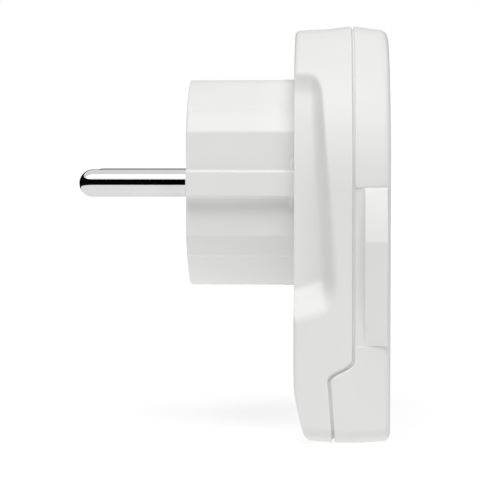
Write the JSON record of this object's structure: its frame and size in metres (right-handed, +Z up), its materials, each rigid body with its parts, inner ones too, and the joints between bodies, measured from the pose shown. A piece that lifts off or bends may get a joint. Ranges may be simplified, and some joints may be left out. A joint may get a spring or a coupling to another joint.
{
  "type": "plug in power meter",
  "caption": "Slim plug-in power meter: round two-pin plug with side earth strips, shuttered socket well, display and push buttons.",
  "frame": {"origin": "centre of the plug's flat end face, midway between the two pins", "axes": "+X along the plug's axis towards the front of the meter, so the pins point to -X; +Z up, from the buttons towards the socket; +Y to the meter's own left, which is on the right as seen from the front"},
  "size_m": [0.0537, 0.0616, 0.0707],
  "materials": {
    "white_plastic": "satin moulded white plastic with a very fine grain",
    "nickel": "polished nickel plating",
    "brass": "stamped and tumbled brass",
    "steel": "zinc plated steel",
    "insulator": "dark matt moulded insulator",
    "board": "green solder mask over glass fibre",
    "capacitor_case": "yellow moulded case",
    "component_sleeve": "black sleeve and moulding",
    "lcd": "grey green liquid crystal glass with a polariser",
    "clear_window": "clear polished window",
    "silicone": "grey silicone rubber",
    "button_cap": "grey satin plastic"
  },
  "bodies": {
    "meter": {"rear_shell": "white_plastic", "front_shell": "white_plastic", "side_grip_left": "white_plastic", "side_grip_right": "white_plastic", "plug_body": "white_plastic", "socket_insert": "white_plastic", "lcd_frame": "white_plastic", "live_pin": "nickel", "neutral_pin": "nickel", "plug_earth_top": "nickel", "plug_earth_bottom": "nickel", "socket_earth_left": "nickel", "socket_earth_right": "nickel", "button_cell": "nickel", "earth_ring": "brass", "neutral_strap": "brass", "live_in_bar": "brass", "live_out_bar": "brass", "neutral_contact": "brass", "live_contact": "brass", "shunt_strip": "brass", "screw_top_left": "steel", "screw_top_right": "steel", "screw_bottom_left": "steel", "screw_bottom_right": "steel", "shutter_spring": "steel", "cell_clip": "steel", "pin_bridge": "insulator", "contact_block": "insulator", "main_board": "board", "film_capacitor": "capacitor_case", "meter_chip": "component_sleeve", "electrolytic_capacitor": "component_sleeve", "lcd_panel": "lcd", "display_window": "clear_window", "lcd_connector_top": "silicone", "lcd_connector_bottom": "silicone", "keypad_mat": "silicone"},
    "shutter": {"shutter_disc": "insulator"},
    "left_button": {"left_button": "button_cap"},
    "middle_button": {"middle_button": "button_cap"},
    "right_button": {"right_button": "button_cap"}
  },
  "joints": [
    {"name": "shutter_turn", "type": "hinge", "parent": "meter", "child": "shutter", "pos_m": [0.01735, 0, 0], "axis": [1, 0, 0], "range_deg": [0, 36], "stiffness_Nm_per_rad": 0.002, "springref_deg": -11.46},
    {"name": "left_press", "type": "slide", "parent": "meter", "child": "left_button", "axis": [-1, 0, 0], "range_m": [0, 0.0006], "stiffness_N_per_m": 600, "springref_m": -0.0005},
    {"name": "middle_press", "type": "slide", "parent": "meter", "child": "middle_button", "axis": [-1, 0, 0], "range_m": [0, 0.0006], "stiffness_N_per_m": 600, "springref_m": -0.0005},
    {"name": "right_press", "type": "slide", "parent": "meter", "child": "right_button", "axis": [-1, 0, 0], "range_m": [0, 0.0006], "stiffness_N_per_m": 600, "springref_m": -0.0005}
  ]
}
